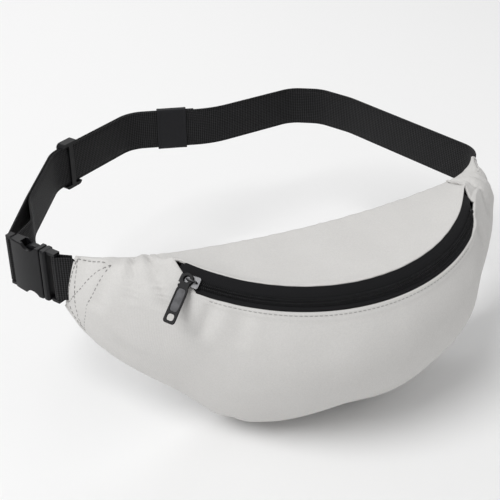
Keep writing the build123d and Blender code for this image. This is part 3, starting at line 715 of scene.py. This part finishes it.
TOP_S = crowded(-MID_HALF + 0.3, MID_HALF - 0.3, 3.0)
TOP_R = crowded(SHELF + 0.004, TOP_END - 0.002, 0.05, 0.012, 0.12)
top = skin(TOP_S, TOP_R) + smooth_sample(field, TOP_S, TOP_R)
to_hem, to_back = edge_run(top, 1, False), edge_run(top, 1, True)
to_side = np.minimum(edge_run(top, 0, False), edge_run(top, 0, True))
lift = hem(to_hem) - 0.9 * bump_at(to_back, 1.8) - 2.0 * bump_at(to_side, 2.4)
lift += puckers(TOP_S[:, None], to_back) + 0.6 * puckers(TOP_S[:, None] * 0.8, to_hem)
top = top + normals(top) * lift[..., None]
top_cloth = grid_object("top_cloth", top, TOP_S, edge_run(top, 1, False))

BACK_ROW = 4.0
BACK_S = crowded(-LIMIT + 0.4, LIMIT - 0.4, 3.2)
BACK_R = TOP_END + crowded(0.003, 0.997, 0.02, 0.006, 0.05)
back = skin(BACK_S, BACK_R) + smooth_sample(field, BACK_S, BACK_R)
to_top, to_foot = edge_run(back, 1, False), edge_run(back, 1, True)
lift = -0.8 * bump_at(to_top, 1.6) - 1.0 * bump_at(to_foot, 2.0)
lift += puckers(BACK_S[:, None], to_foot) + 0.5 * puckers(BACK_S[:, None], to_top)
lift += -0.4 * bump_at(to_top - BACK_ROW, 0.8) - 0.4 * bump_at(to_foot - BACK_ROW, 0.8)
back = back + normals(back) * lift[..., None]
back_cloth = grid_object("back_cloth", back, BACK_S, edge_run(back, 1, False))

for cloth, node, material in ((front_cloth, "front_panel", cloth_mat), (top_cloth, "top_panel", cloth_mat),
                              (back_cloth, "back_panel", back_mat)):
    dress(cloth, material, "pouch", "cloth", node)
    thick = cloth.modifiers.new("thickness", "SOLIDIFY")
    thick.thickness, thick.offset = 0.0018, -1.0


# ---- stitches ------------------------------------------------------------------------------------
# One stitch: share of its length, share of its radius, and rise in radii, for each ring of six points.
STITCH_RINGS = ((0.0, 0.45, -0.9), (0.14, 0.9, 0.2), (0.5, 1.0, 0.6), (0.86, 0.9, 0.2), (1.0, 0.45, -0.9))


def stitches(name, line, outward, material, body, slot, length=2.7, gap=0.9, radius=0.26, lift=0.12):
    """A row of sewn stitches along a line that lies on cloth."""
    line, outward = np.asarray(line, float), np.asarray(outward, float)
    run = lengths(line)
    points, faces = [], []

    def at(distance):
        return (np.array([np.interp(distance, run, line[:, k]) for k in range(3)]),
                unit(np.array([np.interp(distance, run, outward[:, k]) for k in range(3)])))
    for k in range(int(run[-1] / (length + gap))):
        start = k * (length + gap)
        a, b = at(start)[0], at(start + length)[0]
        along = unit(b - a)
        for share, swell_by, rise in STITCH_RINGS:
            point, n = at(start + share * length)
            side = np.cross(along, n)
            for turn in np.linspace(0, 2 * pi, 6, endpoint=False):
                points.append(point + n * (lift + rise * radius)
                              + radius * swell_by * (side * cos(turn) + n * sin(turn) * 0.8))
        first = len(points) - 30
        for ring in range(first, first + 24, 6):
            for c in range(6):
                d = (c + 1) % 6
                faces.append((ring + c, ring + d, ring + 6 + d, ring + 6 + c))
        faces += [tuple(first + c for c in range(5, -1, -1)), tuple(first + 24 + c for c in range(6))]
    uvs = [(0.0, 0.0)] * sum(len(f) for f in faces)
    return dress(add_object(name, points, faces, uvs), material, body, slot)


def row_on(grid, path):
    """Line and outward directions on a cloth grid, from index pairs (i, j)."""
    n = normals(grid)
    line, out = [], []
    for i, j in path:
        i0, j0 = min(int(i), grid.shape[0] - 2), min(int(j), grid.shape[1] - 2)
        a, b = i - i0, j - j0
        weights = ((1 - a) * (1 - b), a * (1 - b), (1 - a) * b, a * b)
        corners = ((i0, j0), (i0 + 1, j0), (i0, j0 + 1), (i0 + 1, j0 + 1))
        line.append(sum(w * grid[c] for w, c in zip(weights, corners)))
        out.append(sum(w * n[c] for w, c in zip(weights, corners)))
    return np.array(line), np.array(out)


def column_at(run, distance):
    """Column index, with its fraction, at a distance from the edge on one row of an edge_run."""
    order = np.argsort(run)
    return float(np.interp(distance, run[order], order.astype(float)))


def edge_row(grid, stations, last, distance, low, high):
    run = edge_run(grid, 1, last)
    rows = [i for i in range(len(stations)) if low <= stations[i] <= high]
    return row_on(grid, [(i, column_at(run[i], distance)) for i in rows])


part_front = front[:, :zip_col + 1]
for name, cloth, stations, last, inset, low, high in (
    ("stitch_zip_lower", part_front, FRONT_S, True, HEM_ROW, -131, 111),
    ("stitch_back_top", back, BACK_S, False, BACK_ROW, -184, 184),
    ("stitch_back_foot", back, BACK_S, True, BACK_ROW, -184, 184),
):
    stitches(name, *edge_row(cloth, stations, last, inset, low, high), thread_mat, "pouch", "cloth")

for word, radius, lift in (("left", 0.36, 0.1), ("right", 0.26, -0.05)):
    for k, (line, outward) in enumerate(wing_lines[word]):
        stitches(f"stitch_wing_{word}_{k}", line, outward, wing_thread, "pouch", "cloth",
                 length=3.1, gap=1.1, radius=radius, lift=lift)

# ---- zip: tapes, coils and stops ----------------------------------------------------------------
upper_edge, lower_edge = CHAIN_W - CHAIN_GAP, CHAIN_W + CHAIN_GAP
ANGLES = np.linspace(ZIP_LEFT - 1.5, ZIP_RIGHT + 1.0, 150)
TAPE_EDGE = ZIP_W / 2 + 0.1


def tape(name, low, high, node):
    """Woven tape, thin and ribbed. At its right end it sinks and narrows under the front's drawn-up cloth,
    and the upper tape widens to close the gap past the end of the chain."""
    ws = np.linspace(low, high, 14)
    face = 0.06 * np.sin(ws * 2 * pi / 2.3)
    loop = [(w, -0.1 + f) for w, f in zip(ws, face)] + [(w, -TAPE_T) for w in ws[::-1]]
    # Past 45 degrees is beyond the slider's furthest place. In turn: the dip of both ends, the further dip
    # beside the cloth, the width left under the cloth, the widest place kept, and the upper tape's gain.
    sunk = 1.2 * np.maximum(0, ZIP_LEFT + 0.3 - ANGLES) + 0.8 * ease((ANGLES - 48) / 5)
    under = 3.4 * ease((ANGLES - 45.75) / 1.0)
    spare = 0.3 + 1.7 * ease((ANGLES - 46.5) / 2) + 3.0 * ease((ANGLES - 50) / 2)
    reach = np.maximum(low + 0.2, TAPE_EDGE - np.maximum(0, FOLD * ease((ANGLES - 45.6) / 6.4) - spare))
    closing = (6.0 if low < 0 else 0.0) * ease((ANGLES - 46.8) / 0.8)
    rows = []
    for a, d, deep, most, more in zip(ANGLES, sunk, under, reach, closing):
        widths = [min(w + more * (w > 0), most) for w, _ in loop]
        rows.append([band_point(a, w, h - d - deep * np.clip((w - 3.0) / 2.5, 0, 1))
                     for w, (_, h) in zip(widths, loop)])
    grid = np.array(rows)[:, ::-1]
    around = lengths(np.array([(w, h) for w, h in loop + loop[:1]]))
    piece = grid_object(name, grid, np.radians(ANGLES) * ZIP_R, around, wrap=True, caps=True)
    return dress(piece, tape_mat, "pouch", "zip_tape", node)


tape("tape_upper", -TAPE_EDGE, upper_edge, "zip_tape_upper")
tape("tape_lower", lower_edge, TAPE_EDGE, "zip_tape_lower")
WIRE, COIL_PITCH, COIL_STEPS, COIL_FROM, HOOK = 0.30, 1.35, 9, ZIP_LEFT + 1.5, 0.28


def coil(name, edge, side, node, end):
    """One nylon spiral of the chain; the two spirals lie half a turn apart and hook past each other."""
    middle, reach = edge + side * COIL_W / 2, COIL_W / 2 + HOOK
    turns = radians(end - COIL_FROM) * ZIP_R / COIL_PITCH
    path = []
    for k in range(int(turns * COIL_STEPS)):
        phase = 2 * pi * k / COIL_STEPS + (pi if side > 0 else 0)
        angle = COIL_FROM + degrees(COIL_PITCH * k / COIL_STEPS / ZIP_R)
        w = middle - side * HOOK - side * reach * cos(phase)
        path.append(band_point(angle, w, COIL_H / 2 + (COIL_H / 2 - WIRE) * sin(phase)))
    return dress(tube(name, path, WIRE, sides=6), coil_mat, "pouch", "zip_coil", node)


coil("coil_upper", upper_edge, -1, "zip_coil_upper", 47.0)
coil("coil_lower", lower_edge, 1, "zip_coil_lower", 46.2)

# The stop past the chain's right end is narrower and lower than the frame's, to stay clear of the cloth.
STOP_CORNERS = [(-0.5, -0.1), (-0.5, 1.5), (3.3, 1.5), (3.3, -0.1)]
stop = np.array([[band_point(a, w, h) for w, h in STOP_CORNERS] for a in np.linspace(47.0, 48.0, 5)])
stop_around = [0, 1.6, 5.4, 7.0, 10.8]
dress(grid_object("stop_right", stop, np.linspace(0, 2.7, 5), stop_around, wrap=True, caps=True),
      coil_mat, "pouch", "zip_coil", "zip_stop_right")

# ---- slider's bail and pull -----------------------------------------------------------------------
slide_out = band_out(SLIDER_AT)
slide_x = np.cross(ZIP_UP, zip_radial(SLIDER_AT))
slide_y = np.cross(slide_out, slide_x)
slide_at = band_point(SLIDER_AT, CHAIN_W)
LEG_X, BAIL_FOOT, PULL_FOOT, PULL_T = 3.6, 3.5, 4.1, 1.6


def on_slider(x, y, z):
    return slide_at + slide_x * x + slide_y * y + slide_out * z


arch = [(-LEG_X, BAIL_FOOT - 0.6)]
arch += [(-LEG_X * cos(a), 5.4 + 1.75 * sin(a)) for a in np.linspace(0, pi, 15)]
arch += [(LEG_X, BAIL_FOOT - 0.6)]
arch = resample(np.array([on_slider(x, 0, z) for x, z in arch]), 0.5)
dress(tube("bail_wire", arch, 0.74, sides=14), steel_mat, "zip_slider", "slider_metal", "slider_bail")


def ring_points(cx, cy, rx, ry, count=40, power=2.0):
    """An ellipse in plan; a power above 2 squares it off."""
    turn = np.linspace(0, 2 * pi, count, endpoint=False)
    c, s = np.cos(turn), np.sin(turn)
    xs = cx + rx * np.sign(c) * np.abs(c) ** (2 / power)
    ys = cy + ry * np.sign(s) * np.abs(s) ** (2 / power)
    return np.stack([xs, ys], axis=1)


def plate(name, outlines, thick, bevel):
    """A flat plate with holes and rounded edges, between z 0 and its thickness."""
    curve = bpy.data.curves.new(name, "CURVE")
    curve.dimensions, curve.fill_mode = "2D", "BOTH"
    curve.extrude, curve.offset = thick / 2 - bevel, -bevel
    curve.bevel_depth, curve.bevel_resolution = bevel, 2
    for outline in outlines:
        spline = curve.splines.new("POLY")
        spline.points.add(len(outline) - 1)
        spline.points.foreach_set("co", [v for x, y in outline for v in (x, y, 0.0, 1.0)])
        spline.use_cyclic_u = True
    holder = bpy.data.objects.new(name + "_curve", curve)
    bpy.context.scene.collection.objects.link(holder)
    mesh = bpy.data.meshes.new_from_object(holder.evaluated_get(bpy.context.evaluated_depsgraph_get()))
    bpy.data.objects.remove(holder)
    mesh.transform(Matrix.Translation((0, 0, thick / 2)))
    mesh.name = name
    mesh.polygons.foreach_set("use_smooth", [True] * len(mesh.polygons))
    thing = bpy.data.objects.new(name, mesh)
    bpy.context.scene.collection.objects.link(thing)
    return thing


def set_on_pull(thing, z):
    """Moves a plate from the plane it was drawn in to the pull's place, z above the pull's foot."""
    place = on_slider(-LEG_X, 0, PULL_FOOT + z) * MM
    axes = np.array([slide_x, slide_y, slide_out]).T * MM
    thing.data.transform(Matrix([(*axes[k], place[k]) for k in range(3)] + [(0, 0, 0, 1)]))
    return thing


head = [(4.7 * sin(a), 4.7 * cos(a)) for a in np.linspace(-pi * 0.72, pi * 0.72, 30)]
tail = [(3.7, -6.0), (4.4, -9.0), (4.55, -30.0)]
tail += [(2.3 + 2.2 * cos(a), -31.6 + 2.2 * sin(a)) for a in np.linspace(0, -pi / 2, 8)]
tail += [(-x, y) for x, y in tail[::-1]]
outline = np.array(head + tail)
face_hole = ring_points(0, -16.2, 3.1, 8.6, 48, 4.5)
eye_hole = ring_points(0, -29.2, 2.55, 2.5, 36, 3.0)
rim = plate("pull_rim", [outline, ring_points(0, 0, 2.35, 2.4, 36), face_hole, eye_hole], PULL_T, 0.3)
dress(set_on_pull(rim, 0.0), rim_mat, "zip_pull", "pull_metal", "zip_pull")
face = plate("pull_face", [ring_points(0, -16.2, 3.3, 8.8, 48, 4.5)], 1.0, 0.12)
dress(set_on_pull(face, 0.25), gunmetal_mat, "zip_pull", "pull_metal")


# ---- webbing ----------------------------------------------------------------------------------------
def sewn_point(s):
    foot, heading = back_point(s)
    return foot + vec(sin(radians(heading)), -cos(radians(heading))) * WEB_OUT


# Half of the webbing's outline: height, and how far its face stands out, with a groove by each selvedge.
SELVEDGE = [
    (-19.0, 0.12), (-18.75, 0.55), (-18.1, 0.8), (-17.0, 0.8), (-16.6, 0.62), (-16.2, 0.8), (-10.8, 0.78),
    (-5.4, 0.8), (0.0, 0.78), (5.4, 0.8), (10.8, 0.78), (16.2, 0.8), (16.6, 0.62), (17.0, 0.8),
    (18.1, 0.8), (18.75, 0.55), (19.0, 0.12),
]
TUCKED, TUCK_EASE = 15.0, 5.0       # length inside a wing, where the webbing is folded in a little


def strap(name, line):
    """Webbing on edge along a line in plan, with its woven selvedges; its start is sewn in a wing."""
    ahead = np.gradient(line, axis=0)
    ahead /= np.linalg.norm(ahead, axis=1, keepdims=True)
    side = np.stack([ahead[:, 1], -ahead[:, 0], 0 * ahead[:, 0]], axis=1)
    loop = SELVEDGE + [(z, -t) for z, t in SELVEDGE[::-1]]
    tall = 0.88 + 0.12 * ease((lengths(line) - TUCKED) / TUCK_EASE)
    grid = np.array([[point + n * t + vec(0, 0, z * k) for z, t in loop]
                     for point, n, k in zip(line, side, tall)])
    around = lengths(np.array(loop + loop[:1]))
    return grid_object(name, grid, lengths(line), around, wrap=True, caps=True)


def round_bar(bar, arrive, leave):
    """Points round a bar, from where the webbing meets it to where it leaves."""
    first, last = turned(arrive, 90), turned(leave, 90)
    start = atan2(first[1], first[0])
    sweep = (start - atan2(last[1], last[0])) % (2 * pi)
    return [bar + LOOP_R * vec(cos(start - sweep * t), sin(start - sweep * t)) for t in np.linspace(0, 1, 17)]


def offset_route(points, distance):
    """The same route in plan, moved to its right by this distance."""
    moved = []
    for i, point in enumerate(points):
        before = unit(point - points[i - 1]) if i > 0 else unit(points[1] - point)
        after = unit(points[i + 1] - point) if i < len(points) - 1 else before
        right = vec(before[1], -before[0]) + vec(after[1], -after[0])
        moved.append(point + right * (2 * distance / (right @ right)))
    return moved


along = vec(cos(radians(BUCKLE_DIR)), sin(radians(BUCKLE_DIR)))
socket_bar = BUCKLE_FROM + along * (BUCKLE_L - BAR_X)
belt_end = vec(108, 122)
corners = [belt_end, vec(16, 111.5), vec(-60, 134.5), vec(-150, 84), vec(-191, 14), vec(-198.5, -22)]
second = offset_route(corners, LAYERS)
arrive, leave = unit(socket_bar - corners[5]), unit(second[4] - socket_bar)
keeper_dir = unit(corners[2] - corners[1])
KEEPER_AT, KEEPER_L, TAIL_OUT = 39.5, 28.0, 8.0
second[1] = second[1] + keeper_dir * (KEEPER_AT - KEEPER_L / 2 - TAIL_OUT)
wing_dir = unit(sewn_point(LIMIT) - sewn_point(LIMIT - 6))
bar_line = round_bar(socket_bar, arrive, leave)
to_hip = [sewn_point(174), sewn_point(LIMIT - 6), sewn_point(LIMIT) + wing_dir * 16,
          vec(150, 74), vec(134, 106)]
first_layer = rounded(to_hip + corners + bar_line[:1], [60, 25, 60, 30, 30, 80, 30, 30, 50, 15])
return_layer = rounded([bar_line[-1], second[4], second[3], second[2], second[1]], [52, 32, 32])
belt_line = np.concatenate([first_layer, np.array(bar_line)[1:-1], return_layer])
belt = strap("belt_strap", belt_line)
dress(belt, web_mat, None, "webbing", "belt_webbing", "belt_anchor")
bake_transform(belt)

plug_bar = BUCKLE_FROM + along * BAR_X
tip_dir = unit(plug_bar - sewn_point(-LIMIT))
plug_dir = turned(tip_dir, 4)
plug_line = np.concatenate([
    rounded([sewn_point(-174), sewn_point(1 - LIMIT), plug_bar + turned(plug_dir, 90) * LOOP_R], [60], 1.5),
    np.array(round_bar(plug_bar, plug_dir, -plug_dir))[1:],
    [sewn_point(-LIMIT) + tip_dir * 2.5 + turned(tip_dir, -90) * LAYERS]])
dress(strap("plug_strap", plug_line), web_mat, "pouch", "webbing", "plug_webbing")


# ---- keeper loop ---------------------------------------------------------------------------------------
keeper_out = vec(keeper_dir[1], -keeper_dir[0])
STACK_LOW, STACK_HIGH = -WEB_T / 2 - 0.4, LAYERS + WEB_T / 2 + 0.4
keeper_mid = corners[1] + keeper_dir * KEEPER_AT + keeper_out * (STACK_LOW + STACK_HIGH) / 2


def keeper_piece():
    """A band of folded cloth round both layers, seamed along its middle and hemmed at its ends."""
    thick, tall, around = (STACK_HIGH - STACK_LOW) / 2 + 1.0, WEB_W / 2 + 1.4, []
    for k in range(96):
        a = 2 * pi * k / 96
        c, s = cos(a), sin(a)
        around.append((thick * np.sign(c) * abs(c) ** (2 / 9), tall * np.sign(s) * abs(s) ** (2 / 9)))
    rows = []
    half = KEEPER_L / 2
    ends = np.concatenate([np.linspace(-half, 1.8 - half, 5), np.linspace(2.2 - half, half - 2.2, 15),
                           np.linspace(half - 1.8, half, 5)])
    for x in ends:
        edge = half - abs(x)
        puff = 0.25 * bump_at(edge - 1.2, 1.0) - 0.3 * bump_at(edge, 0.5) - 0.2 * bump_at(edge - 2.8, 0.6)
        row = []
        for t, z in around:
            seam = -0.35 * bump_at(z, 0.7) + 0.22 * bump_at(abs(z) - 2.2, 1.4)
            t = t + np.sign(t) * (puff + seam)
            row.append(keeper_mid + keeper_dir * x + keeper_out * t + vec(0, 0, z))
        rows.append(row)
    grid = np.array(rows)
    outline = lengths(np.array(around + around[:1]))
    piece = grid_object("keeper_band", grid, ends, outline, wrap=True)
    dress(piece, keeper_mat, "keeper", "keeper_cloth", "keeper_loop")
    wall = piece.modifiers.new("thickness", "SOLIDIFY")
    wall.thickness, wall.offset = 0.0008, -1.0


keeper_piece()

# ---- moulded and metal nodes of the frame keep their shape, with softened edges ---------------------------
for node, material, round_off in (
    ("buckle_plug", plastic_mat, 0.5), ("buckle_socket", plastic_mat, 0.5), ("prong_upper", plastic_mat, 0.5),
    ("prong_lower", plastic_mat, 0.5), ("tri_glide", plastic_mat, 0.6), ("zip_slider", steel_mat, 0.25),
    ("zip_stop_left", coil_mat, 0.3),
):
    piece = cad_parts[node]
    piece.data.materials.clear()
    piece.data.materials.append(material)
    edge = piece.modifiers.new("edges", "BEVEL")
    edge.width, edge.segments = round_off * MM, 2
    edge.limit_method, edge.angle_limit = "ANGLE", radians(40)
    edge.harden_normals = False

# ---- floor and light ---------------------------------------------------------------------------------------
FLOOR = 4000.0
floor_corners = [(-FLOOR, -FLOOR, 0), (FLOOR, -FLOOR, 0), (FLOOR, FLOOR, 0), (-FLOOR, FLOOR, 0)]
floor = add_object("floor", floor_corners, [(0, 1, 2, 3)])
floor.location.z = cad_low.z - 0.001
pale = Nodes("pale_floor", Roughness=0.9, Specular_IOR_Level=0.1)
pale.shader.inputs["Base Color"].default_value = (0.90, 0.90, 0.90, 1)
floor.data.materials.append(pale.material)

world = bpy.data.worlds.new("studio")
world.use_nodes = True
sky = world.node_tree.nodes["Background"]
sky.inputs["Color"].default_value = (1.0, 1.0, 1.0, 1)
sky.inputs["Strength"].default_value = 0.43
bpy.context.scene.world = world
bpy.context.scene.view_settings.view_transform = "Standard"


def area_light(name, place, target, size, power):
    data = bpy.data.lights.new(name, "AREA")
    data.shape, data.size, data.energy = "DISK", size, power
    lamp = bpy.data.objects.new(name, data)
    lamp.location = place
    lamp.rotation_mode = "QUATERNION"
    lamp.rotation_quaternion = (Vector(target) - Vector(place)).to_track_quat("-Z", "Y")
    bpy.context.scene.collection.objects.link(lamp)


area_light("key", (-2.5, -0.8, 3.4), (0, -0.1, 0), 2.6, 124)
area_light("fill", (1.5, -1.2, 1.0), (0, -0.1, 0), 1.6, 3)
area_light("rim", (0.3, 1.6, 1.5), (0, 0, 0), 1.2, 8)
